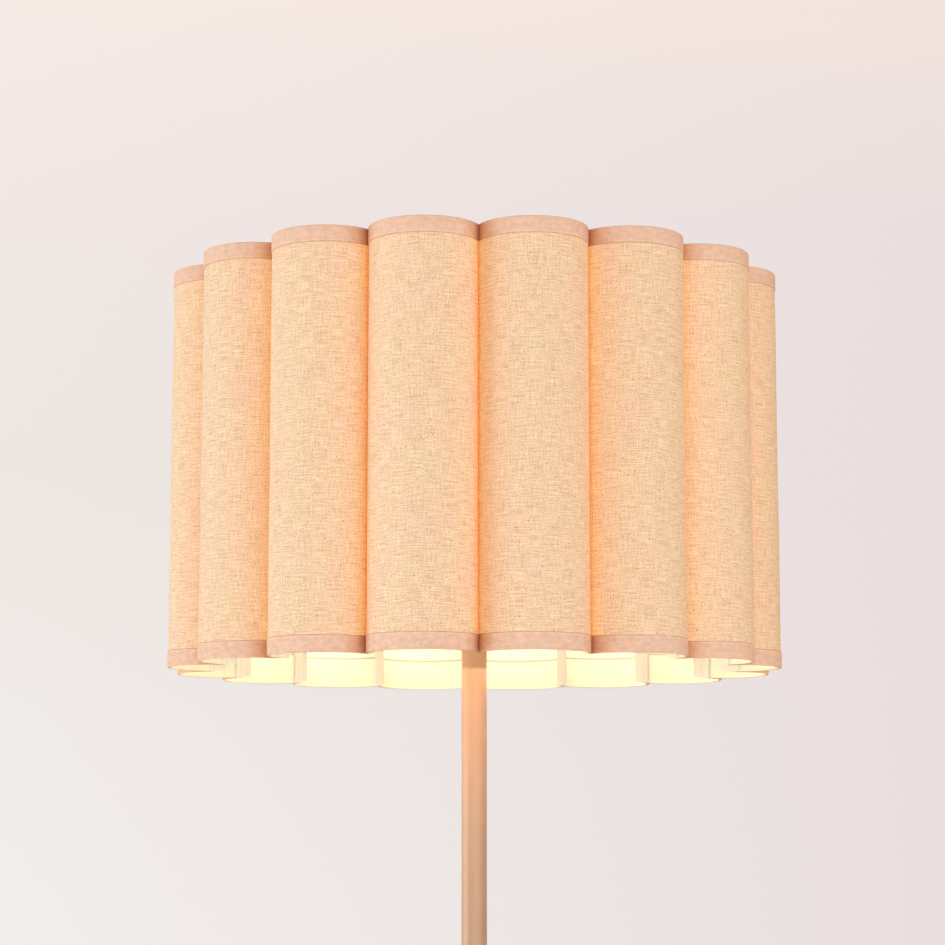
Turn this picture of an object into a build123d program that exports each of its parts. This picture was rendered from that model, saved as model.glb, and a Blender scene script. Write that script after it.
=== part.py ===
from build123d import *
import os
from math import atan2, ceil, cos, degrees, radians, sin, sqrt

# Floor lamp with a scalloped linen shade on a slim pole. Millimetres, +Z up, front towards -Y.
# The origin is the centre of the base, on the floor.

# Clearances
press_clearance = 0.05  # radial, between pieces that are screwed or pushed together
running_clearance = 0.1  # radial, between a shaft and the hole it turns in
seat_gap = 0.2  # between faces that turn on each other

# Base
felt_thickness = 2.0
felt_margin = 3.0  # from the edge of the weight
felt_bore_radius = 30.0
weight_thickness = 15.0
weight_margin = 3.8  # from the inside of the cover
weight_recess_radius = 20.0
weight_recess_depth = 9.0
cord_channel_width = 11.0
cover_radius = 140.0
cover_wall = 1.2
cover_edge_chamfer = 2.0
cover_floor_gap = 1.2
collar_radius = 17.0
collar_top_radius = 12.5
collar_rim_height = 3.0
collar_height = 13.0

# Cord inlet in the back of the base
inlet_height = 6.9
inlet_bore_radius = 3.1
inlet_neck_radius = 4.2
inlet_flange_radius = 5.4
inlet_flange_thickness = 1.4

# Pole and its screwed joints
pole_radius = 9.5
pole_wall = 1.2
pole_section_length = 417.0
pole_sections = ["pole_lower", "pole_middle", "pole_upper"]
coupler_length = 30.0
wire_way_radius = 4.0
insert_length = 18.0
nipple_radius = 5.0
nipple_bore_radius = 3.5
nipple_length = 30.0
foot_nipple_engagement = 16.0
top_nipple_reach = 6.0  # how far the upper nipple stands up into the lampholder
nut_across_flats = 14.0
nut_thickness = 4.0
washer_radius = 14.0
washer_thickness = 1.5
neck_cap_radius = 12.5
neck_cap_height = 7.0

# Harp, which carries the shade over the bulb
harp_height = 228.0
harp_half_width = 56.0
harp_leg_spread = 27.0
harp_leg_height = 40.0
harp_waist_height = 92.0
harp_strip_width = 6.0
harp_strip_thickness = 2.5
harp_knee_round = 12.0
harp_waist_round = 25.0
harp_shoulder_round = 45.0
saddle_thickness = 1.6
saddle_pad_radius = 11.0
saddle_ear_height = 15.0
saddle_bend = 1.5
sleeve_wall = 1.0
sleeve_length = 14.0
sleeve_rest_gap = 0.3
stud_plate_radius = 8.0
stud_plate_thickness = 3.0
stud_radius = 3.1
stud_length = 14.0

# Lampholder
socket_cap_height = 20.0
socket_cap_radius = 20.0
socket_cap_hub_radius = 8.5
socket_cap_lip = 6.0
socket_sheet = 0.8
socket_shell_length = 45.0
liner_thickness = 0.5
core_height = 20.0
screw_shell_radius = 14.0
screw_shell_wall = 0.5
screw_shell_length = 25.0
contact_radius = 4.0
contact_height = 1.5

# Rotary switch on the front of the lampholder
switch_rise = 9.0  # of its axis over the foot of the lampholder's core
switch_shaft_radius = 2.0
switch_shaft_depth = 9.0
shell_hole_radius = 2.7
knob_standoff = 2.5
knob_radius = 6.0
knob_length = 13.0
knob_bore_depth = 9.0
knob_chamfer = 1.0

# Bulb
bulb_cap_length = 22.0
bulb_tip_radius = 4.5
bulb_tip_length = 3.3
bulb_housing_height = 42.0
bulb_housing_foot_radius = 14.0
bulb_globe_radius = 30.0
bulb_globe_facets = 4

# Spider that joins the shade to the harp
hub_radius = 13.5
hub_thickness = 2.0
spider_drop = 18.0
arm_count = 4
arm_width = 5.0
arm_thickness = 1.6
arm_root_radius = 11.0
arm_bend_radius = 150.0
arm_flat_end = 10.0
arm_bend_round = 15.0
arm_weld_depth = 1.0

# Finial
finial_height = 26.0
finial_foot_radius = 7.5
finial_foot_height = 3.0
finial_neck_radius = 4.8
finial_neck_height = 10.0
finial_knob_radius = 9.0
finial_bore_depth = 13.0

# Shade: a drum of outward flutes that meet in sharp creases
shade_height = 296.0
crest_radius = 230.0
flute_depth_share = 0.135  # of the crest radius, from the crests in to the creases
flute_count = 16
front_crease_turn = 0.86  # degrees, the front crease stands this far towards +X
wall_thickness = 1.2
trim_thickness = 0.5
trim_height = 12.5
ring_height = 2.5

# Radii of the base, worked out from the cover inwards
weight_radius = cover_radius - cover_wall - weight_margin
felt_radius = weight_radius - felt_margin

# Heights, worked out from the floor up
weight_top = felt_thickness + weight_thickness
recess_top = felt_thickness + weight_recess_depth
cover_top = weight_top + cover_wall
pole_top = cover_top + len(pole_sections) * pole_section_length
saddle_base = pole_top + neck_cap_height
saddle_top = saddle_base + saddle_thickness
socket_base = saddle_top + nut_thickness
shell_base = socket_base + socket_cap_height - socket_cap_lip
core_top = shell_base + core_height
switch_axis = shell_base + switch_rise
shoulder = saddle_top + harp_height
hub_base = shoulder + seat_gap
hub_top = hub_base + hub_thickness
shade_top = hub_top + spider_drop
shade_bottom = shade_top - shade_height
bulb_tip_base = core_top + contact_height + seat_gap
bulb_cap_base = bulb_tip_base + bulb_tip_length
bulb_cap_top = bulb_cap_base + bulb_cap_length
housing_top = bulb_cap_top + bulb_housing_height

# Radii inside the lampholder, from the cap inwards
shell_radius = socket_cap_radius - socket_sheet - press_clearance
liner_radius = shell_radius - socket_sheet - press_clearance
core_radius = liner_radius - liner_thickness - press_clearance
bulb_cap_radius = screw_shell_radius - screw_shell_wall - running_clearance

# Knob and shaft of the switch, measured from the lampholder's axis
knob_back = shell_radius + knob_standoff
shaft_tip = knob_back + knob_bore_depth

# Where the ears, the harp's legs and the sleeves round them stand
ear_middle = harp_leg_spread + (harp_strip_thickness + saddle_thickness) / 2
sleeve_axis = harp_leg_spread + saddle_thickness / 2
leg_and_ear = harp_strip_thickness + saddle_thickness
sleeve_bore = sqrt(leg_and_ear**2 + harp_strip_width**2) / 2 + running_clearance

# Flutes in plan: each is an arc about its own centre, through its crest and its two creases
half_angle = 180.0 / flute_count
crease_radius = crest_radius * (1 - flute_depth_share)
crease_reach = crease_radius * cos(radians(half_angle))
flute_radius = (crease_radius**2 - 2 * crest_radius * crease_reach + crest_radius**2) / (
    2 * (crest_radius - crease_reach)
)
inner_flute_radius = flute_radius - wall_thickness
flute_centre = crest_radius - flute_radius
half_pitch = flute_centre * sin(radians(half_angle))
crease_foot = flute_centre * cos(radians(half_angle))
inner_ridge = crease_foot + sqrt(inner_flute_radius**2 - half_pitch**2)
first_flute_angle = front_crease_turn - 90.0 + half_angle


def polar(radius, angle):
    """Point on the floor at a radius and an angle in degrees about the Z axis."""
    return Vector(radius * cos(radians(angle)), radius * sin(radians(angle)), 0)


def tube(outer, inner, base, length):
    """Upright tube about the Z axis."""
    return Pos(0, 0, base) * extrude(Circle(outer) - Circle(inner), length)


def turned(points, base=0.0):
    """Solid turned about the Z axis from a closed outline of radius and height points."""
    outline = make_face(Polyline(*[(radius, 0, height) for radius, height in points], close=True))
    return Pos(0, 0, base) * revolve(outline, Axis.Z, 360)


def at_two_levels(solid, lower, upper):
    """The same solid at two heights."""
    return Compound([Pos(0, 0, lower) * solid, Pos(0, 0, upper) * solid])


# Base


def felt_pad():
    """Ring of felt that the lamp stands on."""
    return tube(felt_radius, felt_bore_radius, 0, felt_thickness)


def base_weight():
    """Cast disc with a recess for the nut and a channel for the cord under it."""
    disc = tube(weight_radius, nipple_radius + press_clearance, felt_thickness, weight_thickness)
    recess = extrude(Circle(weight_recess_radius), weight_recess_depth)
    channel = Box(
        cord_channel_width,
        2 * weight_radius,
        weight_recess_depth,
        align=(Align.CENTER, Align.MIN, Align.MIN),
    )
    return disc - Pos(0, 0, felt_thickness) * (recess + channel)


def base_cover():
    """Thin spun cover over the weight, with a broken edge and a hole for the cord's bush."""
    wall_inside = cover_radius - cover_wall
    outline = [
        (nipple_radius + press_clearance, weight_top),
        (wall_inside, weight_top),
        (wall_inside, cover_floor_gap),
        (cover_radius, cover_floor_gap),
        (cover_radius, cover_top - cover_edge_chamfer),
        (cover_radius - cover_edge_chamfer, cover_top),
        (nipple_radius + press_clearance, cover_top),
    ]
    inlet = Cylinder(inlet_neck_radius + press_clearance, 4 * cover_wall, rotation=(90, 0, 0))
    return turned(outline) - Pos(0, cover_radius, inlet_height) * inlet


def base_collar():
    """Turned collar that hides the foot of the pole."""
    bore = pole_radius + press_clearance
    flange = tube(collar_radius, bore, cover_top, collar_rim_height)
    return flange + tube(collar_top_radius, bore, cover_top, collar_height)


def cord_grommet():
    """Rubber bush in the cover's wall, flanged on both sides and bored for the cord."""
    wall_bow = inlet_flange_radius**2 / (2 * (cover_radius - cover_wall))
    neck_end = inlet_flange_thickness + wall_bow + cover_wall
    outline = [
        (inlet_bore_radius, 0),
        (inlet_flange_radius, 0),
        (inlet_flange_radius, inlet_flange_thickness),
        (inlet_neck_radius, inlet_flange_thickness),
        (inlet_neck_radius, neck_end),
        (inlet_flange_radius, neck_end),
        (inlet_flange_radius, neck_end + inlet_flange_thickness),
        (inlet_bore_radius, neck_end + inlet_flange_thickness),
    ]
    return Pos(0, cover_radius - neck_end, inlet_height) * Rot(-90, 0, 0) * turned(outline)


# Pole


def pole_section(index):
    """One length of steel tube."""
    base = cover_top + index * pole_section_length
    return tube(pole_radius, pole_radius - pole_wall, base, pole_section_length)


def pole_couplers():
    """Plugs inside the tube at the two joints between its lengths."""
    plug = tube(pole_radius - pole_wall - press_clearance, wire_way_radius, 0, coupler_length)
    first_joint = cover_top + pole_section_length - coupler_length / 2
    return at_two_levels(plug, first_joint, first_joint + pole_section_length)


def pole_inserts():
    """Threaded bushes at the foot and the top of the pole."""
    outer = pole_radius - pole_wall - press_clearance
    bush = tube(outer, nipple_radius + press_clearance, 0, insert_length)
    return at_two_levels(bush, cover_top, pole_top - insert_length)


def threaded_nipples():
    """Hollow threaded pipes: one through the base, one through the saddle into the lampholder."""
    nipple = tube(nipple_radius, nipple_bore_radius, 0, nipple_length)
    foot = cover_top + foot_nipple_engagement - nipple_length
    return at_two_levels(nipple, foot, socket_base + top_nipple_reach - nipple_length)


def lock_nuts():
    """Hexagon nuts: one under the weight, one on the saddle."""
    hexagon = RegularPolygon(nut_across_flats / 2, 6, major_radius=False)
    nut = extrude(hexagon - Circle(nipple_radius + press_clearance), nut_thickness)
    return at_two_levels(nut, recess_top - washer_thickness - nut_thickness, saddle_top)


def foot_washer():
    """Washer between the nut and the weight."""
    bore = nipple_radius + press_clearance
    return tube(washer_radius, bore, recess_top - washer_thickness, washer_thickness)


def neck_cap():
    """Turned cap that closes the top of the pole under the saddle."""
    bore = nipple_radius + press_clearance
    return tube(neck_cap_radius, bore, pole_top, neck_cap_height)


# Harp


def strip(points, rounds, width, thickness):
    """Flat metal strip bent along points in the XZ plane, its width along Y."""
    path = FilletPolyline(*[(x, 0, z) for x, z in points], radius=rounds)
    start = Plane(origin=path @ 0, x_dir=(0, 1, 0), z_dir=path % 0)
    return sweep(start * Rectangle(width, thickness), path)


def harp_saddle():
    """Pressed strip with two ears, widened to a round pad that is clamped under the lampholder."""
    middle = saddle_base + saddle_thickness / 2
    ear_top = saddle_top + saddle_ear_height
    points = [(-ear_middle, ear_top), (-ear_middle, middle), (ear_middle, middle), (ear_middle, ear_top)]
    bend = saddle_bend + saddle_thickness / 2
    pad = tube(saddle_pad_radius, nipple_radius + press_clearance, saddle_base, saddle_thickness)
    hole = extrude(Circle(nipple_radius + press_clearance), saddle_thickness)
    return strip(points, bend, harp_strip_width, saddle_thickness) - Pos(0, 0, saddle_base) * hole + pad


def harp_loop():
    """Strip loop that rises from the ears, widens round the bulb and closes under the shade."""
    top = shoulder - stud_plate_thickness - harp_strip_thickness / 2
    side = [
        (harp_leg_spread, saddle_top + saddle_bend),
        (harp_leg_spread, saddle_top + harp_leg_height),
        (harp_half_width, saddle_top + harp_waist_height),
        (harp_half_width, top),
    ]
    points = side + [(-x, z) for x, z in reversed(side)]
    rounds = [harp_knee_round, harp_waist_round, harp_shoulder_round]
    return strip(points, rounds + rounds[::-1], harp_strip_width, harp_strip_thickness)


def harp_sleeve(side):
    """Sleeve that locks one leg of the harp to its ear."""
    sleeve = tube(sleeve_bore + sleeve_wall, sleeve_bore, saddle_top + sleeve_rest_gap, sleeve_length)
    return Pos(side * sleeve_axis, 0, 0) * sleeve


def harp_stud():
    """Plate and threaded stud on top of the harp."""
    outline = [
        (0, 0),
        (stud_plate_radius, 0),
        (stud_plate_radius, stud_plate_thickness),
        (stud_radius, stud_plate_thickness),
        (stud_radius, stud_plate_thickness + stud_length),
        (0, stud_plate_thickness + stud_length),
    ]
    return turned(outline, shoulder - stud_plate_thickness)


def finial():
    """Turned knob that screws down on the stud and holds the shade's hub."""
    bore = stud_radius + running_clearance
    outline = [
        (0, finial_bore_depth),
        (bore, finial_bore_depth),
        (bore, 0),
        (finial_foot_radius, 0),
        (finial_foot_radius, finial_foot_height),
        (finial_neck_radius, finial_foot_height),
        (finial_neck_radius, finial_neck_height),
        (finial_knob_radius, finial_neck_height),
        (finial_knob_radius, finial_height),
        (0, finial_height),
    ]
    return turned(outline, hub_top + seat_gap)


# Lampholder and switch


def socket_cap():
    """Flared metal cup that screws on the nipple and takes the lampholder's sleeve."""
    flare = socket_cap_height - socket_cap_lip
    bore = nipple_radius + press_clearance
    outline = [
        (bore, 0),
        (socket_cap_hub_radius, 0),
        (socket_cap_radius, flare),
        (socket_cap_radius, socket_cap_height),
        (socket_cap_radius - socket_sheet, socket_cap_height),
        (socket_cap_radius - socket_sheet, flare),
        (bore, flare),
    ]
    return turned(outline, socket_base)


def switch_way(radius):
    """Cylinder along the switch's axis, from the lampholder's middle out past its front."""
    length = 2 * socket_cap_radius
    return Pos(0, -length / 2, switch_axis) * Cylinder(radius, length, rotation=(90, 0, 0))


def socket_shell():
    """Metal sleeve round the lampholder, with a hole for the switch's shaft."""
    sleeve = tube(shell_radius, shell_radius - socket_sheet, shell_base, socket_shell_length)
    return sleeve - switch_way(shell_hole_radius)


def socket_liner():
    """Insulating card sleeve inside the metal one."""
    sleeve = tube(liner_radius, liner_radius - liner_thickness, shell_base, socket_shell_length)
    return sleeve - switch_way(shell_hole_radius)


def socket_core():
    """Moulded body of the lampholder, bored from the front for the switch's shaft."""
    core = Pos(0, 0, shell_base) * extrude(Circle(core_radius), core_height)
    bore = Cylinder(
        switch_shaft_radius + running_clearance,
        2 * switch_shaft_depth + 2 * running_clearance,
        rotation=(90, 0, 0),
    )
    return core - Pos(0, -core_radius, switch_axis) * bore


def screw_shell():
    """Thin metal cup with an open floor that the bulb screws into."""
    inner = screw_shell_radius - screw_shell_wall
    return tube(screw_shell_radius, inner, core_top, screw_shell_length)


def centre_contact():
    """Contact button on the core, under the bulb's tip."""
    return Pos(0, 0, core_top) * extrude(Circle(contact_radius), contact_height)


def switch_shaft():
    """Round shaft from inside the core to the knob."""
    root = core_radius - switch_shaft_depth
    shaft = extrude(Circle(switch_shaft_radius), shaft_tip - root)
    return Pos(0, -root, switch_axis) * Rot(90, 0, 0) * shaft


def switch_knob():
    """Turned knob on the shaft."""
    bore = switch_shaft_radius + press_clearance
    outline = [
        (0, knob_bore_depth),
        (bore, knob_bore_depth),
        (bore, 0),
        (knob_radius, 0),
        (knob_radius, knob_length - knob_chamfer),
        (knob_radius - knob_chamfer, knob_length),
        (0, knob_length),
    ]
    return Pos(0, -knob_back, switch_axis) * Rot(90, 0, 0) * turned(outline)


# Bulb


def bulb_cap():
    """Screw cap with the narrower contact at its tip."""
    outline = [
        (0, bulb_tip_base),
        (bulb_tip_radius, bulb_tip_base),
        (bulb_tip_radius, bulb_cap_base),
        (bulb_cap_radius, bulb_cap_base),
        (bulb_cap_radius, bulb_cap_top),
        (0, bulb_cap_top),
    ]
    return turned(outline)


def bulb_housing():
    """Flaring neck of the bulb."""
    outline = [
        (0, bulb_cap_top),
        (bulb_housing_foot_radius, bulb_cap_top),
        (bulb_globe_radius, housing_top),
        (0, housing_top),
    ]
    return turned(outline)


def bulb_globe():
    """Frosted dome, turned from a few straight facets."""
    step = 90.0 / bulb_globe_facets
    rise = [polar(bulb_globe_radius, i * step) for i in range(bulb_globe_facets)]
    outline = [(0, 0)] + [(point.X, point.Y) for point in rise] + [(0, bulb_globe_radius)]
    return turned(outline, housing_top)


# Shade


def crease_turn(radius):
    """Angle about a flute's centre from its crest to where this circle meets the crease plane."""
    return half_angle + degrees(atan2(half_pitch, sqrt(radius**2 - half_pitch**2)))


def flute_point(radius, angle):
    """Point on a circle about the centre of the flute on the X axis."""
    return Vector(flute_centre, 0) + polar(radius, angle)


def flute_arc(radius):
    """Arc about that flute's centre, from crease plane to crease plane."""
    turn = crease_turn(radius)
    return Edge.make_three_point_arc(
        flute_point(radius, -turn), flute_point(radius, 0), flute_point(radius, turn)
    )


def flute_section(outer, inner):
    """Section of one flute's wall between two radii, cut along the crease planes."""
    edges = [flute_arc(outer), flute_arc(inner)]
    for side in (-1, 1):
        start = flute_point(outer, side * crease_turn(outer))
        edges.append(Edge.make_line(start, flute_point(inner, side * crease_turn(inner))))
    return Face(Wire(edges))


def around_shade(section, base, top):
    """One upright solid for each flute, between two heights."""
    solid = Pos(0, 0, base) * extrude(section, top - base)
    step = 2 * half_angle
    return [Rot(0, 0, first_flute_angle + i * step) * solid for i in range(flute_count)]


def shade_panels():
    """Linen laminated on a white backing: one curved panel for each flute, butted at the creases."""
    section = flute_section(flute_radius, inner_flute_radius)
    return Compound(around_shade(section, shade_bottom + ring_height, shade_top - ring_height))


def rim_ring(base):
    """Scalloped steel ring, in line with the panels that stand against it."""
    section = flute_section(flute_radius, inner_flute_radius)
    return Part() + around_shade(section, base, base + ring_height)


def rim_trim(base):
    """Tape round a rim, over the ring and the edge of the panels."""
    section = flute_section(flute_radius + trim_thickness, flute_radius)
    return Part() + around_shade(section, base, base + trim_height)


def shade_spider():
    """Hub washer, and arms that rise to the top ring and are welded to it at creases."""
    arm_level = hub_base + hub_thickness / 2
    ring_level = shade_top - ring_height / 2
    points = [
        (arm_root_radius, arm_level),
        (arm_bend_radius, arm_level),
        (inner_ridge - arm_flat_end, ring_level),
        (inner_ridge + arm_weld_depth, ring_level),
    ]
    arm = strip(points, arm_bend_round, arm_width, arm_thickness)
    hub = tube(hub_radius, stud_radius + running_clearance, hub_base, hub_thickness)
    creases_apart = ceil(flute_count / arm_count)
    turns = [front_crease_turn + i * creases_apart * 2 * half_angle for i in range(arm_count)]
    spider = hub + [Rot(0, 0, turn) * arm for turn in turns]
    return spider - rim_ring(shade_top - ring_height)


def make_pieces():
    """Every sub-part by the name of its node."""
    pieces = {
        "felt_pad": felt_pad(),
        "base_weight": base_weight(),
        "base_cover": base_cover(),
        "base_collar": base_collar(),
        "cord_grommet": cord_grommet(),
        "foot_washer": foot_washer(),
        "lock_nuts": lock_nuts(),
        "threaded_nipples": threaded_nipples(),
        "pole_couplers": pole_couplers(),
        "pole_inserts": pole_inserts(),
        "neck_cap": neck_cap(),
        "harp_saddle": harp_saddle(),
        "harp_loop": harp_loop(),
        "harp_stud": harp_stud(),
        "harp_sleeve_left": harp_sleeve(-1),
        "harp_sleeve_right": harp_sleeve(1),
        "finial": finial(),
        "socket_cap": socket_cap(),
        "socket_shell": socket_shell(),
        "socket_liner": socket_liner(),
        "socket_core": socket_core(),
        "screw_shell": screw_shell(),
        "centre_contact": centre_contact(),
        "switch_shaft": switch_shaft(),
        "switch_knob": switch_knob(),
        "bulb_cap": bulb_cap(),
        "bulb_housing": bulb_housing(),
        "bulb_globe": bulb_globe(),
        "shade_panels": shade_panels(),
        "top_ring": rim_ring(shade_top - ring_height),
        "bottom_ring": rim_ring(shade_bottom),
        "top_trim": rim_trim(shade_top - trim_height),
        "bottom_trim": rim_trim(shade_bottom),
        "shade_spider": shade_spider(),
    }
    for index, name in enumerate(pole_sections):
        pieces[name] = pole_section(index)
    return pieces


os.makedirs("parts", exist_ok=True)
for name, piece in make_pieces().items():
    export_step(piece, f"parts/{name}.step")
print("shade from", round(shade_bottom, 2), "to", round(shade_top, 2))
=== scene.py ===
"""Dresses the floor lamp: cloth, metal, light, stage and camera. Metres, +Z up, front towards -Y."""

import math

import bpy
from bpy.props import FloatProperty, FloatVectorProperty, IntProperty, PointerProperty
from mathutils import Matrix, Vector, noise


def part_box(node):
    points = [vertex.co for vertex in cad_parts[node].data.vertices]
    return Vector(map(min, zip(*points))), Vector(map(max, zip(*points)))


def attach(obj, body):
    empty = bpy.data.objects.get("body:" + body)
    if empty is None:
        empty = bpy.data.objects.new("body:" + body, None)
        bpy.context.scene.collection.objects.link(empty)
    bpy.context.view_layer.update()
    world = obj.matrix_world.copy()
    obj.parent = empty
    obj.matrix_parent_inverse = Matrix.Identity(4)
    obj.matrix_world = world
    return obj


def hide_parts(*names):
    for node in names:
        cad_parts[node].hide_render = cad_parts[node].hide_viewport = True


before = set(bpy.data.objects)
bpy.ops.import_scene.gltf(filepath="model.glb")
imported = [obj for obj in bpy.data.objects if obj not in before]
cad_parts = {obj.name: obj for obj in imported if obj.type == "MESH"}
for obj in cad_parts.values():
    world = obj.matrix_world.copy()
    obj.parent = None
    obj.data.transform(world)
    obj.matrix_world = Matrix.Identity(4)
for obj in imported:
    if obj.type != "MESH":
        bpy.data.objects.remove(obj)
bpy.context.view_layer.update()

bl_info = {
    "name": "Scalloped shade floor lamp",
    "version": (1, 0, 0),
    "blender": (4, 5, 0),
    "location": "3D View > Sidebar > Lamp",
    "description": "Builds the cloth, finishes, light and stage of a floor lamp",
    "category": "Object",
}

# Plan of the shade, as in the construction
FLUTES = 16
CREST_RADIUS = 0.230
FLUTE_DEPTH_SHARE = 0.135
CREASE_RADIUS = CREST_RADIUS * (1 - FLUTE_DEPTH_SHARE)
FRONT_CREASE_TURN = math.radians(0.86)
WALL = 0.0012
HALF_ANGLE = math.pi / FLUTES
CREASE_REACH = CREASE_RADIUS * math.cos(HALF_ANGLE)
FLUTE_RADIUS = (CREASE_RADIUS**2 - 2 * CREST_RADIUS * CREASE_REACH + CREST_RADIUS**2) / (
    2 * (CREST_RADIUS - CREASE_REACH)
)
FLUTE_CENTRE = CREST_RADIUS - FLUTE_RADIUS
HALF_PITCH = FLUTE_CENTRE * math.sin(HALF_ANGLE)
FIRST_FLUTE = FRONT_CREASE_TURN - math.pi / 2 + HALF_ANGLE
SHADE_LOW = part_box("bottom_trim")[0][2]
SHADE_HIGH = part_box("top_trim")[1][2]

# Thickness of a tape or a flap, and the play between two layers
STRIP = 0.0005
PLAY = 0.0001

# Layers of a flute's wall, as radii about its centre, from the outside in
TAPE_FACE = FLUTE_RADIUS + STRIP
CLOTH_FACE = FLUTE_RADIUS
CLOTH_BACK = FLUTE_RADIUS - WALL / 2
LINING_FACE = FLUTE_RADIUS - WALL - PLAY
HEM_BACK = LINING_FACE - PLAY
HEM_FACE = HEM_BACK - STRIP
SEAM_BACK = HEM_FACE - PLAY
SEAM_FACE = SEAM_BACK - STRIP

# How far each layer ends short of a rim
LINEN_SHORT = 0.0005
LINING_SHORT = 0.0004
SEAM_SHORT = 0.0006

# Tape rolled over a rim: how far it turns, its thin upper edge and how far it stands past the rim
ROLL_TURN = math.radians(105)
TAPE_EDGE = 0.0003
ROLL_PAST = 0.0002

# Waves of the cloth in a radian of turn and in a metre of height, and their shift from flute to flute
WAVES_ROUND = 0.9
WAVES_UP = 14
WAVE_SHIFT = (5.3, 1.7)

# Mesh steps over half a seam tape, round a rolled tape and up a flap, and the angle that stays sharp
SEAM_STEPS = 4
ROLL_STEPS = 4
HEM_ROWS = 12
SHARP_ANGLE = math.radians(35)

# Names of the cloth's own coordinates and of two lengths kept on its points
UV_NAME = "weave"
CREASE_NAME = "crease"
RIM_NAME = "rim"

# Distance between the starts of two flutes in the cloth's own coordinates
FLUTE_STEP = 0.31

# How far from a crease the linen and the tape change colour
LINEN_GROOVE = 0.045
TAPE_GROOVE = 0.020

# Rows of stitches, as shares of the way from the crease to the edge of the seam tape
STITCH_ROWS = (0.70, 0.94)

# Depth of a surface's relief, and how much the roughness of a hard finish varies
RELIEF_DEPTH = 0.0002
ROUGHNESS_SPREAD = 0.2

# Places of the soft lights, 3 m from the pole, and how far the weak one stands above the lower rim
FRONT_LIGHT = (0.0, -3.0, 1.3)
RIGHT_LIGHT = (1.93, -2.3, 1.3)
LEFT_LIGHT = (-2.99, -0.26, 1.3)
SPILL_RISE = 0.002


class ShadeSettings(bpy.types.PropertyGroup):
    """Cloth of the shade."""

    linen: FloatVectorProperty(
        name="Linen",
        description="Colour of the linen",
        subtype="COLOR",
        size=3,
        default=(0.50, 0.46, 0.385),
    )
    trim: FloatVectorProperty(
        name="Trim",
        description="Colour of the rim tape",
        subtype="COLOR",
        size=3,
        default=(0.54, 0.44, 0.375),
    )
    lining: FloatVectorProperty(
        name="Lining",
        description="Colour of the backing",
        subtype="COLOR",
        size=3,
        default=(0.86, 0.84, 0.80),
    )
    seam: FloatVectorProperty(
        name="Seam",
        description="Colour of the seam tape",
        subtype="COLOR",
        size=3,
        default=(0.83, 0.78, 0.70),
    )
    trim_height: FloatProperty(
        name="Trim height", description="Height of the rim tape", unit="LENGTH", default=0.012
    )
    hem_height: FloatProperty(
        name="Hem height", description="Height of the flap inside each rim", unit="LENGTH", default=0.024
    )
    hem_inset: FloatProperty(
        name="Hem inset",
        description="How far a flap stops short of a crease",
        unit="LENGTH",
        default=0.0135,
    )
    seam_width: FloatProperty(
        name="Seam width", description="Width of the tape behind a crease", unit="LENGTH", default=0.024
    )
    stitch_pitch: FloatProperty(
        name="Stitch pitch", description="Distance between two stitches", unit="LENGTH", default=0.0025
    )
    thread_pitch: FloatProperty(
        name="Thread pitch", description="Distance between two threads", unit="LENGTH", default=0.0011
    )
    unevenness: FloatProperty(
        name="Unevenness", description="How far the cloth strays", unit="LENGTH", default=0.0004
    )
    columns: IntProperty(name="Columns", description="Mesh columns in one flute", default=44, min=8)
    rows: IntProperty(name="Rows", description="Mesh rows in the height of the shade", default=28, min=4)


class GlowSettings(bpy.types.PropertyGroup):
    """Light of the lamp itself."""

    cloth: FloatProperty(name="Cloth glow", description="Light that comes through the linen", default=1.0)
    inside: FloatProperty(name="Inside glow", description="Light that stays in the backing", default=0.05)
    bulb: FloatProperty(name="Bulb glow", description="Light that leaves the bulb", default=470.0)
    spill: FloatProperty(
        name="Spill", description="Power of the light out of the lower rim", default=0.42
    )
    spill_width: FloatProperty(
        name="Spill width",
        description="Width of the light out of the lower rim",
        unit="LENGTH",
        default=0.27,
    )
    spill_colour: FloatVectorProperty(
        name="Spill colour",
        description="Colour of the light out of the lower rim",
        subtype="COLOR",
        size=3,
        default=(1.0, 0.80, 0.50),
    )


class StageSettings(bpy.types.PropertyGroup):
    """Camera, backdrop and studio light."""

    backdrop: FloatVectorProperty(
        name="Backdrop",
        description="Colour behind the lamp",
        subtype="COLOR",
        size=3,
        default=(0.85, 0.79, 0.765),
    )
    ambient: FloatProperty(
        name="Ambient", description="Strength of the light from all round", default=0.34
    )
    front: FloatProperty(name="Front", description="Power of each soft light in front", default=32.5)
    side: FloatProperty(name="Side", description="Power of the soft light on the left", default=66.3)
    light_size: FloatProperty(
        name="Light size", description="Width of a soft light", unit="LENGTH", default=2.4
    )
    daylight: FloatVectorProperty(
        name="Daylight",
        description="Colour of the soft lights",
        subtype="COLOR",
        size=3,
        default=(0.85, 1.0, 1.03),
    )
    lens: FloatProperty(name="Lens", description="Focal length", unit="CAMERA", default=96.5)
    distance: FloatProperty(
        name="Distance", description="From the pole to the camera", unit="LENGTH", default=1.9097
    )
    aside: FloatProperty(
        name="Aside", description="Camera to the right of the pole", unit="LENGTH", default=-0.0013
    )
    drop: FloatProperty(
        name="Drop", description="Camera under the lower rim", unit="LENGTH", default=0.1263
    )
    tilt: FloatProperty(
        name="Tilt", description="Camera's tilt upwards", subtype="ANGLE", default=math.radians(8.275)
    )


# Shader helpers


def add(tree, kind, inputs=None, **settings):
    """New node with its settings and inputs. An input is a socket to link or a plain value."""
    node = tree.nodes.new(kind)
    for key, value in settings.items():
        setattr(node, key, value)
    for key, value in (inputs or {}).items():
        if isinstance(value, bpy.types.NodeSocket):
            tree.links.new(value, node.inputs[key])
        else:
            node.inputs[key].default_value = value
    return node


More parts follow.
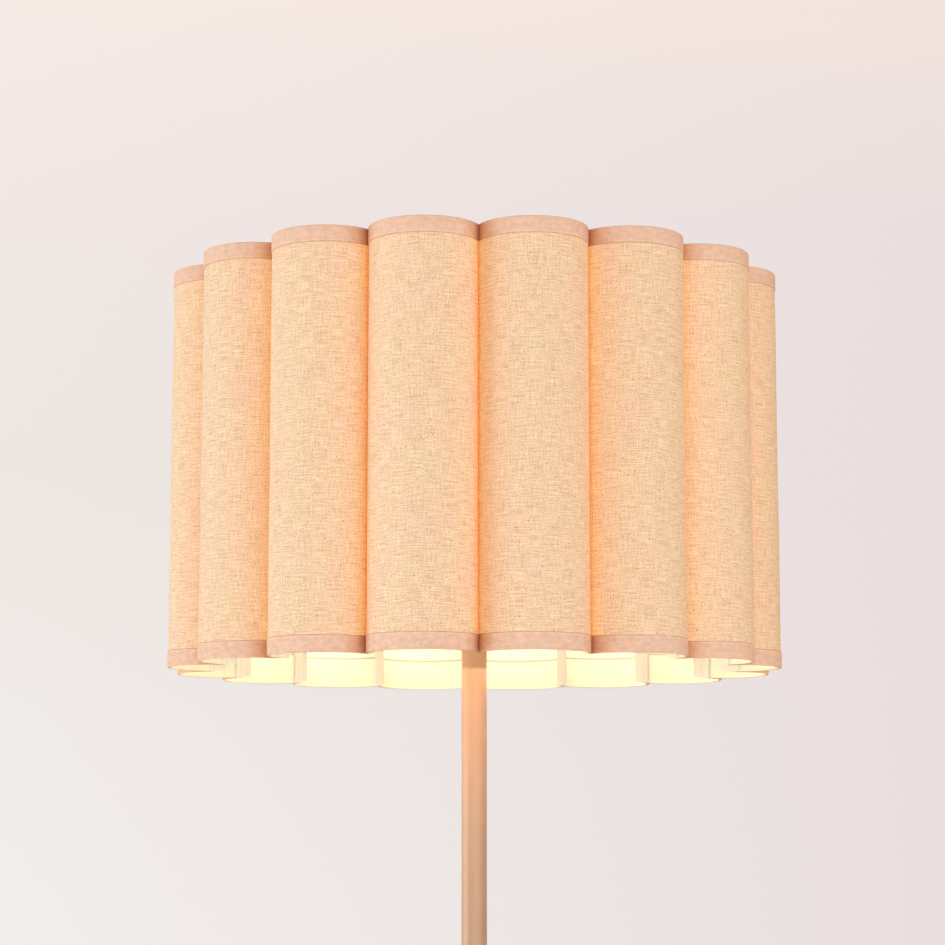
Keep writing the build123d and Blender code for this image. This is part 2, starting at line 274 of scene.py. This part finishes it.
def calculate(tree, operation, first, second=0.0, clamp=False):
    """Output of a math node."""
    node = add(tree, "ShaderNodeMath", {0: first, 1: second}, operation=operation, use_clamp=clamp)
    return node.outputs[0]


def stretched(tree, value, low, high, from_low=0.0, from_high=1.0):
    """Value taken from one range to another, and kept inside it."""
    inputs = {"Value": value, "From Min": from_low, "From Max": from_high, "To Min": low, "To Max": high}
    return add(tree, "ShaderNodeMapRange", inputs).outputs[0]


def weighted(tree, parts):
    """Sum of (value, weight) pairs."""
    total = 0.0
    for value, weight in parts:
        total = calculate(tree, "ADD", total, calculate(tree, "MULTIPLY", value, weight))
    return total


def rgba(colour):
    """Colour with an alpha of 1."""
    return (*colour[:3], 1.0)


def mix(tree, factor, first, second, blend="MIX"):
    """Output of a colour mix node."""
    node = add(tree, "ShaderNodeMix", data_type="RGBA", blend_type=blend)
    for index, value in ((0, factor), (6, first), (7, second)):
        if isinstance(value, bpy.types.NodeSocket):
            tree.links.new(value, node.inputs[index])
        elif index:
            node.inputs[index].default_value = rgba(value)
        else:
            node.inputs[index].default_value = value
    return node.outputs[2]


def tinted(tree, first, second):
    """Product of two colours."""
    return mix(tree, 1.0, first, second, blend="MULTIPLY")


def greys(tree, factor, low, high):
    """Grey that goes from one level to another."""
    return mix(tree, factor, (low, low, low), (high, high, high))


def ramp(tree, factor, stops):
    """Output of a colour ramp through (position, colour) stops."""
    node = add(tree, "ShaderNodeValToRGB", {0: factor})
    elements = node.color_ramp.elements
    while len(elements) < len(stops):
        elements.new(1.0)
    for element, (position, colour) in zip(elements, stops):
        element.position = position
        element.color = rgba(colour)
    return node.outputs[0]


def relief(tree, height, strength):
    """Normal of a surface that is raised by a height from 0 to 1."""
    inputs = {"Height": height, "Strength": strength, "Distance": RELIEF_DEPTH}
    return add(tree, "ShaderNodeBump", inputs).outputs[0]


def new_material(name):
    """Empty node material and its tree."""
    material = bpy.data.materials.new(name)
    material.use_nodes = True
    material.node_tree.nodes.clear()
    return material, material.node_tree


def finish_material(tree, inputs):
    """Principled shader with these inputs, joined to the output."""
    shader = add(tree, "ShaderNodeBsdfPrincipled", inputs)
    add(tree, "ShaderNodeOutputMaterial", {"Surface": shader.outputs[0]})


def kept_length(tree, name, reach):
    """Share of a reach in metres that a length kept on the cloth's points comes to, at most 1."""
    length = add(tree, "ShaderNodeAttribute", attribute_name=name).outputs["Fac"]
    return calculate(tree, "DIVIDE", length, reach, clamp=True)


def plain_noise(tree, vector, detail):
    """Noise of scale 1 at these coordinates."""
    inputs = {"Vector": vector, "Scale": 1.0, "Detail": detail}
    return add(tree, "ShaderNodeTexNoise", inputs).outputs["Fac"]


def slubs(tree, along, across, seed, detail=2.0):
    """Noise whose grains have these two sizes in metres, in the cloth's own coordinates."""
    uv = add(tree, "ShaderNodeUVMap", uv_map=UV_NAME).outputs[0]
    place = {"Vector": uv, "Location": (seed, seed * 0.7, 0), "Scale": (1 / along, 1 / across, 1)}
    return plain_noise(tree, add(tree, "ShaderNodeMapping", place).outputs[0], detail)


def weave(tree, pitch):
    """Thickness of the threads in a slubby plain weave, from 0 to 1."""
    slub_length = 11 * pitch
    thread_width = 0.8 * pitch
    weft = slubs(tree, slub_length, thread_width, seed=3.1)
    warp = slubs(tree, thread_width, slub_length, seed=8.4)
    grain = slubs(tree, 0.9 * pitch, 0.7 * pitch, seed=5.7, detail=1.0)
    total = weighted(tree, [(weft, 0.36), (warp, 0.24), (grain, 0.40)])
    return stretched(tree, total, 0.0, 1.0, from_low=0.32, from_high=0.68)


# Cloth materials


def linen_tone(tree, threads, pitch):
    """Light and dark of the threads, with soft patches and a few dark flecks."""
    tone = mix(tree, threads, (0.75, 0.575, 0.47), (1.26, 1.435, 1.545))
    patch = slubs(tree, 0.022, 0.040, seed=31.0)
    patch = stretched(tree, patch, 0.0, 1.0, from_low=0.35, from_high=0.65)
    tone = tinted(tree, tone, mix(tree, patch, (1.006, 0.985, 1.012), (0.994, 1.015, 0.988)))
    fleck = slubs(tree, 1.4 * pitch, 0.8 * pitch, seed=21.3, detail=0.0)
    fleck = stretched(tree, fleck, 0.0, 0.85, from_low=0.74, from_high=0.82)
    return mix(tree, fleck, tone, (0.42, 0.30, 0.22))


def linen_material(settings, glow):
    """Slubby linen that the lamp shines through, with the lamp's light painted on as an emission and
    painted shade that makes it more orange and darker towards the creases.
    """
    material, tree = new_material("linen_cloth")
    threads = weave(tree, settings.thread_pitch)
    tone = linen_tone(tree, threads, settings.thread_pitch)
    near = kept_length(tree, CREASE_NAME, LINEN_GROOVE)
    # The lamp's light through the cloth, painted as an emission, with painted shade as a dark line at the
    # crease itself
    through = ramp(
        tree,
        near,
        [
            (0.0, (0.40, 0.03, 0.0)),
            (0.03, (0.46, 0.09, 0.0)),
            (0.07, (0.46, 0.13, 0.0)),
            (0.5, (0.46, 0.13, 0.0)),
            (1.0, (0.42, 0.13, 0.0)),
        ],
    )
    # Painted shade: the base colour goes darker and more orange towards the creases
    painted_crease_shade = ramp(
        tree,
        near,
        [(0.0, (0.92, 0.88, 0.70)), (0.1, (1.0, 0.98, 0.88)), (0.3, (1.0, 1.0, 1.0))],
    )
    finish_material(
        tree,
        {
            "Base Color": tinted(tree, tinted(tree, tuple(settings.linen), painted_crease_shade), tone),
            "Roughness": 0.95,
            "Specular IOR Level": 0.15,
            "Sheen Weight": 0.1,
            "Emission Color": tinted(tree, through, tone),
            "Emission Strength": glow.cloth,
            "Normal": relief(tree, threads, 0.3),
        },
    )
    return material


def trim_tone(tree, threads, height):
    """Light and dark of the tape, with a pale line beside its stitched edge and a dark painted shadow
    line along it.
    """
    tone = tinted(
        tree,
        mix(tree, threads, (0.87, 0.86, 0.84), (1.13, 1.14, 1.16)),
        mix(tree, slubs(tree, 0.005, 0.0035, seed=12.0), (0.81, 0.81, 0.79), (1.19, 1.19, 1.21)),
    )
    # Painted shadow: a dark line along the tape's edge away from the rim, with a pale line beside it
    edge = [
        (0.0, (1.0, 1.0, 1.0)),
        (0.84, (1.0, 1.0, 1.0)),
        (0.88, (1.07, 1.07, 1.07)),
        (0.93, (1.07, 1.07, 1.07)),
        (0.96, (0.80, 0.77, 0.73)),
        (1.0, (0.84, 0.81, 0.77)),
    ]
    return tinted(tree, tone, ramp(tree, kept_length(tree, RIM_NAME, height), edge))


def trim_material(settings, glow):
    """Smooth pinkish tape, less lit towards the creases."""
    material, tree = new_material("trim_tape_cloth")
    threads = weave(tree, 0.6 * settings.thread_pitch)
    tone = trim_tone(tree, threads, settings.trim_height)
    near = kept_length(tree, CREASE_NAME, TAPE_GROOVE)
    # Painted shade: the tape's base colour goes much darker towards the creases
    painted_crease_shade = ramp(
        tree,
        near,
        [(0.0, (0.54, 0.42, 0.31)), (0.45, (0.84, 0.76, 0.66)), (1.0, (1.0, 1.0, 1.0))],
    )
    # The lamp's light through the tape, painted as an emission and painted darker towards the creases
    through = ramp(
        tree,
        near,
        [
            (0.0, (0.06, 0.0, 0.0)),
            (0.1, (0.22, 0.03, 0.0)),
            (0.5, (0.32, 0.06, 0.0)),
            (1.0, (0.335, 0.07, 0.0)),
        ],
    )
    finish_material(
        tree,
        {
            "Base Color": tinted(tree, tinted(tree, tuple(settings.trim), painted_crease_shade), tone),
            "Roughness": 0.9,
            "Specular IOR Level": 0.2,
            "Emission Color": tinted(tree, through, tone),
            "Emission Strength": glow.cloth,
            "Normal": relief(tree, threads, 0.2),
        },
    )
    return material


def lining_material(settings, glow):
    """White backing that the bulb lights."""
    material, tree = new_material("white_backing")
    cloud = slubs(tree, 0.03, 0.03, seed=2.2)
    finish_material(
        tree,
        {
            "Base Color": tinted(tree, tuple(settings.lining), greys(tree, cloud, 0.96, 1.04)),
            "Roughness": 0.7,
            "Specular IOR Level": 0.2,
            "Emission Color": (1.0, 0.80, 0.52, 1.0),
            "Emission Strength": glow.inside,
        },
    )
    return material


def hem_material(settings, glow):
    """Cream flap inside a rim, yellower towards the rim, with a thin dull line along its edge away from
    the rim.
    """
    material, tree = new_material("hem_flap")
    height = kept_length(tree, RIM_NAME, settings.hem_height)
    # Yellower towards the rim and dull along the far edge, in the base colour and the glow alike
    shade = ramp(
        tree,
        height,
        [
            (0.0, (0.98, 0.95, 0.80)),
            (0.5, (1.0, 0.98, 0.90)),
            (0.93, (1.0, 0.99, 0.94)),
            (0.96, (0.56, 0.58, 0.50)),
        ],
    )
    cloud = slubs(tree, 0.02, 0.02, seed=9.2)
    shade = tinted(tree, shade, greys(tree, cloud, 0.97, 1.03))
    finish_material(
        tree,
        {
            "Base Color": tinted(tree, tuple(settings.lining), shade),
            "Roughness": 0.75,
            "Specular IOR Level": 0.2,
            "Emission Color": tinted(tree, (1.0, 0.80, 0.50), shade),
            "Emission Strength": glow.inside,
        },
    )
    return material


def seam_material(settings, glow):
    """Cotton tape behind a crease, with two rows of fine stitches down each side."""
    material, tree = new_material("seam_tape")
    from_crease = kept_length(tree, CREASE_NAME, settings.seam_width / 2)
    offsets = [calculate(tree, "SUBTRACT", from_crease, place) for place in STITCH_ROWS]
    first, second = (calculate(tree, "ABSOLUTE", offset) for offset in offsets)
    nearest = calculate(tree, "MINIMUM", first, second)
    row = stretched(tree, nearest, 1.0, 0.0, from_low=0.012, from_high=0.034)
    uv = add(tree, "ShaderNodeUVMap", uv_map=UV_NAME).outputs[0]
    height = add(tree, "ShaderNodeSeparateXYZ", {0: uv}).outputs[1]
    beat = calculate(tree, "MULTIPLY", height, 2 * math.pi / settings.stitch_pitch)
    beat = calculate(tree, "SINE", beat)
    stitch = stretched(tree, beat, 0.0, 0.6, from_low=-0.5, from_high=0.1)
    stitch = calculate(tree, "MULTIPLY", row, stitch)
    cotton = slubs(tree, 0.0008, 0.0008, seed=4.4)
    tone = tinted(tree, tuple(settings.seam), greys(tree, cotton, 0.93, 1.05))
    finish_material(
        tree,
        {
            "Base Color": mix(tree, stitch, tone, (0.55, 0.47, 0.38)),
            "Roughness": 0.85,
            "Specular IOR Level": 0.2,
            "Emission Color": (1.0, 0.74, 0.45, 1.0),
            "Emission Strength": glow.inside,
        },
    )
    return material


# Shade geometry


def crease_turn(radius):
    """Angle about a flute's centre from its crest to where this circle meets the crease plane."""
    return HALF_ANGLE + math.atan2(HALF_PITCH, math.sqrt(max(radius**2 - HALF_PITCH**2, 0.0)))


def flute_place(flute, radius, turn, height):
    """Point on a circle about a flute's centre."""
    x = FLUTE_CENTRE + radius * math.cos(turn)
    y = radius * math.sin(turn)
    angle = FIRST_FLUTE + 2 * HALF_ANGLE * flute
    return Vector(
        (x * math.cos(angle) - y * math.sin(angle), x * math.sin(angle) + y * math.cos(angle), height)
    )


def stray(flute, turn, height, amount):
    """Small smooth departure of the cloth from its true form, which fades towards the creases."""
    fade = math.cos(min(abs(turn), math.pi / 2))
    first_shift, last_shift = WAVE_SHIFT
    place = (flute * first_shift + turn * WAVES_ROUND, height * WAVES_UP, flute * last_shift)
    return amount * fade * noise.noise(Vector(place))


class Cloth:
    """Points and faces of a piece of cloth, with its own coordinates and lengths."""

    def __init__(self):
        self.vertices = []
        self.faces = []
        self.uvs = []
        self.creases = []

    def point(self, place, uv, crease):
        """Add a point with its place on the cloth and its distance from the nearest crease."""
        self.vertices.append(place)
        self.uvs.append(uv)
        self.creases.append(crease)

    def skin(self, first, columns, count, closed):
        """Join sections of so many points each, added column by column from the first point."""
        for column in range(columns):
            for index in range(count if closed else count - 1):
                after = (index + 1) % count
                a = first + column * count
                b = a + count
                self.faces.append((a + index, b + index, b + after, a + after))

    def piece(self, name, material, slot):
        """Object that rides on the shade."""
        mesh = bpy.data.meshes.new(name)
        mesh.from_pydata(self.vertices, [], self.faces)
        layer = mesh.uv_layers.new(name=UV_NAME)
        for loop in mesh.loops:
            layer.data[loop.index].uv = self.uvs[loop.vertex_index]
        rims = [min(place.z - SHADE_LOW, SHADE_HIGH - place.z) for place in self.vertices]
        for key, values in ((CREASE_NAME, self.creases), (RIM_NAME, rims)):
            mesh.attributes.new(key, "FLOAT", "POINT").data.foreach_set("value", values)
        mesh.shade_smooth()
        mesh.set_sharp_from_angle(angle=SHARP_ANGLE)
        mesh.materials.append(material)
        piece = bpy.data.objects.new(name, mesh)
        bpy.context.collection.objects.link(piece)
        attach(piece, "shade")
        return piece


def sheet_along_flutes(name, profile, columns, material, slot, inset=0.0, unevenness=0.0, closed=True):
    """Mesh of a cross-section of (radius, height) points carried along every flute.

    inset is how far, in metres of cloth, it stops short of the creases.
    """
    cloth = Cloth()
    count = len(profile)
    for flute in range(FLUTES):
        first = len(cloth.vertices)
        for column in range(columns + 1):
            share = 2 * column / columns - 1
            for radius, height in profile:
                turn = share * (crease_turn(radius) - inset / radius)
                actual = radius + stray(flute, turn, height, unevenness)
                uv = (flute * FLUTE_STEP + turn * FLUTE_RADIUS, height)
                crease = (crease_turn(radius) - abs(turn)) * FLUTE_RADIUS
                cloth.point(flute_place(flute, actual, turn, height), uv, crease)
        cloth.skin(first, columns, count, closed)
    return cloth.piece(name, material, slot)


def upright(low, high, rows):
    """Heights from low to high."""
    return [low + (high - low) * i / rows for i in range(rows + 1)]


def skin_profile(outer, inner, low, high, rows):
    """Closed section of an upright skin."""
    up = [(outer, z) for z in upright(low, high, rows)]
    down = [(inner, z) for z in reversed(upright(low, high, rows))]
    return up + down


class LAMP_OT_linen(bpy.types.Operator):
    """Add the linen skin of the shade"""

    bl_idname = "lamp.linen"
    bl_label = "Linen skin"

    def execute(self, context):
        settings = context.scene.lamp_shade
        material = linen_material(settings, context.scene.lamp_glow)
        low, high = SHADE_LOW + LINEN_SHORT, SHADE_HIGH - LINEN_SHORT
        profile = skin_profile(CLOTH_FACE, CLOTH_BACK, low, high, settings.rows)
        piece = sheet_along_flutes(
            "linen_skin", profile, settings.columns, material, "linen", unevenness=settings.unevenness
        )
        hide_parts("shade_panels")
        return {"FINISHED"}


class LAMP_OT_lining(bpy.types.Operator):
    """Add the white backing inside the linen, and the flaps folded in at the rims"""

    bl_idname = "lamp.lining"
    bl_label = "White backing"

    def execute(self, context):
        settings = context.scene.lamp_shade
        material = lining_material(settings, context.scene.lamp_glow)
        low, high = SHADE_LOW + LINING_SHORT, SHADE_HIGH - LINING_SHORT
        profile = skin_profile(CLOTH_BACK, LINING_FACE, low, high, settings.rows)
        sheet_along_flutes(
            "white_lining", profile, settings.columns, material, "linen", unevenness=settings.unevenness
        )
        material = hem_material(settings, context.scene.lamp_glow)
        for name, foot, top in (
            ("lower_hem", SHADE_LOW, SHADE_LOW + settings.hem_height),
            ("upper_hem", SHADE_HIGH - settings.hem_height, SHADE_HIGH),
        ):
            profile = skin_profile(HEM_BACK, HEM_FACE, foot, top, HEM_ROWS)
            sheet_along_flutes(
                name, profile, settings.columns, material, "linen", inset=settings.hem_inset
            )
        return {"FINISHED"}


class LAMP_OT_seams(bpy.types.Operator):
    """Add the tape that joins two panels behind each crease"""

    bl_idname = "lamp.seams"
    bl_label = "Seam tapes"

    def execute(self, context):
        settings = context.scene.lamp_shade
        cloth = Cloth()
        reach = settings.seam_width / 2
        heights = upright(SHADE_LOW + SEAM_SHORT, SHADE_HIGH - SEAM_SHORT, settings.rows)
        for flute in range(FLUTES):
            for height in heights:
                for radius in (SEAM_BACK, SEAM_FACE):
                    self.add_section(cloth, flute, radius, height, reach, radius == SEAM_FACE)
        count = 2 * (2 * SEAM_STEPS + 1)
        for flute in range(FLUTES):
            cloth.skin(flute * count * (settings.rows + 1), settings.rows, count, True)
        material = seam_material(settings, context.scene.lamp_glow)
        cloth.piece("seam_tapes", material, "linen")
        return {"FINISHED"}

    def add_section(self, cloth, flute, radius, height, reach, backwards):
        """Points from one side of a crease to the other, on one face of the tape."""
        limit = crease_turn(radius)
        places = []
        for step in range(-SEAM_STEPS, SEAM_STEPS + 1):
            away = abs(step) / SEAM_STEPS * reach
            turn = limit - away / radius
            if step < 0:
                place = flute_place(flute, radius, turn, height)
            else:
                place = flute_place(flute + 1, radius, -turn, height)
            uv = (flute * FLUTE_STEP + math.copysign(away, step), height)
            places.append((place, uv, away))
        if backwards:
            places.reverse()
        for place, uv, away in places:
            cloth.point(place, uv, away)


def rolled_profile(rim, inward, height):
    """Open section of tape that runs along the outside to the rim and turns in round it to the flap."""
    middle = (TAPE_FACE + HEM_FACE) / 2
    bend = (TAPE_FACE - HEM_FACE) / 2
    points = [
        (CLOTH_FACE + PLAY, rim + inward * height),
        (TAPE_FACE, rim + inward * (height - TAPE_EDGE)),
        (TAPE_FACE, rim + inward * height / 2),
    ]
    for step in range(ROLL_STEPS + 1):
        angle = ROLL_TURN * step / ROLL_STEPS
        level = inward * (bend - bend * math.sin(angle) - ROLL_PAST)
        points.append((middle + bend * math.cos(angle), rim + level))
    return points


class LAMP_OT_trims(bpy.types.Operator):
    """Add the tape rolled over both rims"""

    bl_idname = "lamp.trims"
    bl_label = "Rim tapes"

    def execute(self, context):
        settings = context.scene.lamp_shade
        material = trim_material(settings, context.scene.lamp_glow)
        for name, node, rim, inward in (
            ("lower_tape", "bottom_trim", SHADE_LOW, 1),
            ("upper_tape", "top_trim", SHADE_HIGH, -1),
        ):
            profile = rolled_profile(rim, inward, settings.trim_height)
            if inward < 0:
                profile.reverse()
            piece = sheet_along_flutes(
                name, profile, settings.columns, material, "trim_tape", closed=False
            )
            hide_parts(node)
        return {"FINISHED"}


class LAMP_OT_sheets(bpy.types.Operator):
    bl_idname = "lamp.sheets"
    bl_label = "Sheets"

    def execute(self, context):
        return {"FINISHED"}


# Hard finishes


def object_noise(tree, scale, detail=2.0):
    """Noise in the piece's own space, stretched by a scale for each axis."""
    place = add(tree, "ShaderNodeTexCoord").outputs["Object"]
    vector = add(tree, "ShaderNodeMapping", {"Vector": place, "Scale": scale}).outputs[0]
    return plain_noise(tree, vector, detail)


def hard_material(
    name, colour, roughness, metallic=0.0, scale=(60, 60, 60), variation=0.15, bump=0.05, coat=0.0
):
    """Hard finish with slight changes of tone and roughness, and a coat of lacquer where it has one."""
    material, tree = new_material(name)
    grain = object_noise(tree, scale, detail=4.0)
    dark = tuple(c * (1 - variation) for c in colour)
    tint = mix(tree, grain, dark, tuple(min(c * (1 + variation), 1.0) for c in colour))
    rough = calculate(tree, "MULTIPLY", grain, ROUGHNESS_SPREAD)
    rough = calculate(tree, "ADD", rough, roughness - ROUGHNESS_SPREAD / 2, clamp=True)
    finish_material(
        tree,
        {
            "Base Color": tint,
            "Metallic": metallic,
            "Roughness": rough,
            "Normal": relief(tree, grain, bump),
            "Coat Weight": coat,
            "Coat Roughness": 0.3,
        },
    )
    return material


def champagne_material(name, lacquer):
    """Satin champagne plate under a clear lacquer."""
    colour = (0.485, 0.272, 0.17)
    return hard_material(name, colour, 0.7, metallic=0.5, variation=0.03, bump=0.02, coat=lacquer)


def dress(nodes, material):
    """Give these CAD nodes the material."""
    for node in nodes:
        piece = bpy.data.objects[node]
        piece.data.materials.clear()
        piece.data.materials.append(material)


class LAMP_OT_metal(bpy.types.Operator):
    """Finish the metal and plastic pieces"""

    bl_idname = "lamp.metal"
    bl_label = "Hard finishes"

    def execute(self, context):
        pole = ["pole_lower", "pole_middle", "pole_upper", "neck_cap", "base_collar"]
        harp = ["finial", "harp_loop", "harp_saddle", "harp_sleeve_left", "harp_sleeve_right"]
        dress(pole + harp, champagne_material("champagne_satin", 0.7))
        dress(["base_cover"], champagne_material("champagne_spun", 0.12))
        fasteners = ["pole_couplers", "pole_inserts", "threaded_nipples", "lock_nuts", "foot_washer"]
        zinc = hard_material("zinc_plate", (0.60, 0.60, 0.58), 0.38, metallic=1.0)
        dress(fasteners + ["harp_stud", "switch_shaft"], zinc)
        brass = hard_material("lampholder_brass", (0.70, 0.52, 0.26), 0.33, metallic=1.0)
        dress(["socket_cap", "socket_shell", "screw_shell", "centre_contact"], brass)
        enamel = hard_material("white_enamel", (0.80, 0.79, 0.76), 0.4)
        dress(["top_ring", "bottom_ring", "shade_spider"], enamel)
        dress(["base_weight"], hard_material("black_primer", (0.03, 0.03, 0.032), 0.7, bump=0.4))
        felt = hard_material("black_felt", (0.02, 0.02, 0.02), 0.95, scale=(900, 900, 900), bump=0.6)
        dress(["felt_pad"], felt)
        dress(["cord_grommet"], hard_material("black_rubber", (0.025, 0.025, 0.025), 0.75))
        dress(["socket_liner"], hard_material("fibre_card", (0.16, 0.10, 0.06), 0.85))
        dress(["socket_core"], hard_material("phenolic_body", (0.03, 0.022, 0.018), 0.5))
        dress(["switch_knob"], hard_material("knob_plastic", (0.03, 0.026, 0.022), 0.3))
        return {"FINISHED"}


# Lights


def soft_light(name, place, target, size, power, colour):
    """Square area light turned towards a point."""
    data = bpy.data.lights.new(name, "AREA")
    data.size = size
    data.energy = power
    data.color = colour
    light = bpy.data.objects.new(name, data)
    light.location = place
    light.rotation_euler = (Vector(target) - Vector(place)).to_track_quat("-Z", "Y").to_euler()
    bpy.context.collection.objects.link(light)


class LAMP_OT_bulb(bpy.types.Operator):
    """Finish and light the bulb, and add the light that falls out of the lower rim"""

    bl_idname = "lamp.bulb"
    bl_label = "Bulb"

    def execute(self, context):
        glow = context.scene.lamp_glow
        dress(["bulb_cap"], hard_material("bulb_metal", (0.70, 0.70, 0.69), 0.35, metallic=1.0))
        dress(["bulb_housing"], hard_material("bulb_neck", (0.80, 0.78, 0.74), 0.4))
        material, tree = new_material("frosted_glow")
        cloud = object_noise(tree, (40, 40, 40))
        light = mix(tree, cloud, (1.0, 0.64, 0.31), (1.0, 0.67, 0.33))
        finish_material(
            tree,
            {
                "Base Color": (0.9, 0.88, 0.82, 1),
                "Roughness": 0.5,
                "Emission Color": light,
                "Emission Strength": glow.bulb,
            },
        )
        dress(["bulb_globe"], material)
        rim, foot = (0, 0, SHADE_LOW + SPILL_RISE), (0, 0, 0)
        soft_light("spill_light", rim, foot, glow.spill_width, glow.spill, tuple(glow.spill_colour))
        return {"FINISHED"}


# Stage


def backdrop_colour(tree, settings):
    """Backdrop with painted light: a little lighter on the left, where the light comes from, and warmer
    towards the top, where the lamp lights the wall.
    """
    direction = add(tree, "ShaderNodeTexCoord").outputs["Generated"]
    parts = add(tree, "ShaderNodeSeparateXYZ", {0: direction}).outputs
    rise = stretched(tree, parts[2], 0.0, 1.0, from_low=-0.04, from_high=0.33)
    # Painted light on the wall: lighter on the left side and warmer near the top
    left = ramp(
        tree,
        rise,
        [
            (0.0, (1.045, 1.082, 1.086)),
            (0.25, (1.025, 1.052, 1.055)),
            (0.5, (1.0, 1.0, 1.0)),
            (0.85, (1.045, 1.022, 1.034)),
            (1.0, (1.105, 1.052, 1.024)),
        ],
    )
    right = ramp(
        tree,
        rise,
        [(0.0, (0.96, 0.935, 0.955)), (0.75, (0.96, 0.935, 0.955)), (1.0, (1.065, 0.985, 0.945))],
    )
    across = stretched(tree, parts[0], 0.0, 1.0, from_low=-0.18, from_high=0.18)
    return tinted(tree, tuple(settings.backdrop), mix(tree, across, left, right))


def floor_material():
    """Matt floor that looks paler to the camera than it is lit, and keeps the lamp's shadow."""
    material, tree = new_material("pale_floor")
    grain = object_noise(tree, (3, 3, 3), detail=4.0)
    lit = mix(tree, grain, (0.76, 0.72, 0.70), (0.80, 0.76, 0.74))
    seen = add(tree, "ShaderNodeLightPath").outputs["Is Camera Ray"]
    finish_material(
        tree,
        {
            "Base Color": mix(tree, seen, lit, tinted(tree, lit, (0.28, 0.27, 0.30))),
            "Roughness": 0.8,
            "Emission Color": mix(tree, grain, (0.61, 0.575, 0.565), (0.63, 0.592, 0.582)),
            "Emission Strength": seen,
        },
    )
    return material


class LAMP_OT_stage(bpy.types.Operator):
    """Add the camera, the studio light and the floor"""

    bl_idname = "lamp.stage"
    bl_label = "Stage"

    def execute(self, context):
        settings = context.scene.lamp_stage
        self.place_camera(context, settings)
        self.light_world(context, settings)
        middle = (0, 0, (SHADE_LOW + SHADE_HIGH) / 2)
        for name, place, power in (
            ("front_light", FRONT_LIGHT, settings.front),
            ("right_light", RIGHT_LIGHT, settings.front),
            ("left_light", LEFT_LIGHT, settings.side),
        ):
            soft_light(name, place, middle, settings.light_size, power, tuple(settings.daylight))
        self.lay_floor(context)
        return {"FINISHED"}

    def lay_floor(self, context):
        """Flat floor that reaches far round the lamp."""
        mesh = bpy.data.meshes.new("floor")
        reach = 12.0
        corners = [(-reach, -reach, 0), (reach, -reach, 0), (reach, reach, 0), (-reach, reach, 0)]
        mesh.from_pydata(corners, [], [(0, 1, 2, 3)])
        floor = bpy.data.objects.new("floor", mesh)
        context.collection.objects.link(floor)
        mesh.materials.append(floor_material())

    def place_camera(self, context, settings):
        """Camera at the photograph's height, distance and tilt."""
        data = bpy.data.cameras.new("photo_camera")
        data.lens = settings.lens
        data.sensor_width = 36.0
        camera = bpy.data.objects.new("photo_camera", data)
        camera.location = (settings.aside, -settings.distance, SHADE_LOW - settings.drop)
        camera.rotation_euler = (math.pi / 2 + settings.tilt, 0, 0)
        context.collection.objects.link(camera)
        context.scene.camera = camera

    def light_world(self, context, settings):
        """Pale backdrop for what the camera sees, and softer light from all round for the rest."""
        world = bpy.data.worlds.new("studio")
        world.use_nodes = True
        tree = world.node_tree
        tree.nodes.clear()
        backdrop = {"Color": backdrop_colour(tree, settings), "Strength": 1.0}
        seen = add(tree, "ShaderNodeBackground", backdrop)
        around = {"Color": (1.0, 0.98, 0.75, 1), "Strength": settings.ambient}
        cast = add(tree, "ShaderNodeBackground", around)
        rays = add(tree, "ShaderNodeLightPath")
        clear = [(rays.outputs[f"Is {kind} Ray"], 1.0) for kind in ("Camera", "Glossy", "Transmission")]
        share = calculate(tree, "MINIMUM", weighted(tree, clear), 1.0)
        both = add(tree, "ShaderNodeMixShader", {0: share, 1: cast.outputs[0], 2: seen.outputs[0]})
        add(tree, "ShaderNodeOutputWorld", {"Surface": both.outputs[0]})
        context.scene.world = world
        context.scene.view_settings.view_transform = "Standard"


class LAMP_PT_panel(bpy.types.Panel):
    """Lists the settings and the operators of the lamp"""

    bl_label = "Floor lamp"
    bl_idname = "LAMP_PT_panel"
    bl_space_type = "VIEW_3D"
    bl_region_type = "UI"
    bl_category = "Lamp"

    def draw(self, context):
        for group in (context.scene.lamp_shade, context.scene.lamp_glow, context.scene.lamp_stage):
            for key in group.__annotations__:
                self.layout.prop(group, key)
        for operator in OPERATORS:
            self.layout.operator(operator.bl_idname)


OPERATORS = (
    LAMP_OT_stage,
    LAMP_OT_linen,
    LAMP_OT_lining,
    LAMP_OT_seams,
    LAMP_OT_trims,
    LAMP_OT_sheets,
    LAMP_OT_metal,
    LAMP_OT_bulb,
)
CLASSES = (ShadeSettings, GlowSettings, StageSettings, *OPERATORS, LAMP_PT_panel)


def register():
    """Register the classes and hang the settings on the scene."""
    for cls in CLASSES:
        bpy.utils.register_class(cls)
    bpy.types.Scene.lamp_shade = PointerProperty(type=ShadeSettings)
    bpy.types.Scene.lamp_glow = PointerProperty(type=GlowSettings)
    bpy.types.Scene.lamp_stage = PointerProperty(type=StageSettings)


def unregister():
    """Undo what register does."""
    del bpy.types.Scene.lamp_stage
    del bpy.types.Scene.lamp_glow
    del bpy.types.Scene.lamp_shade
    for cls in reversed(CLASSES):
        bpy.utils.unregister_class(cls)


def main():
    """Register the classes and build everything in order."""
    register()
    bpy.ops.lamp.stage()
    bpy.ops.lamp.linen()
    bpy.ops.lamp.lining()
    bpy.ops.lamp.seams()
    bpy.ops.lamp.trims()
    bpy.ops.lamp.sheets()
    bpy.ops.lamp.metal()
    bpy.ops.lamp.bulb()


if __name__ == "__main__":
    main()
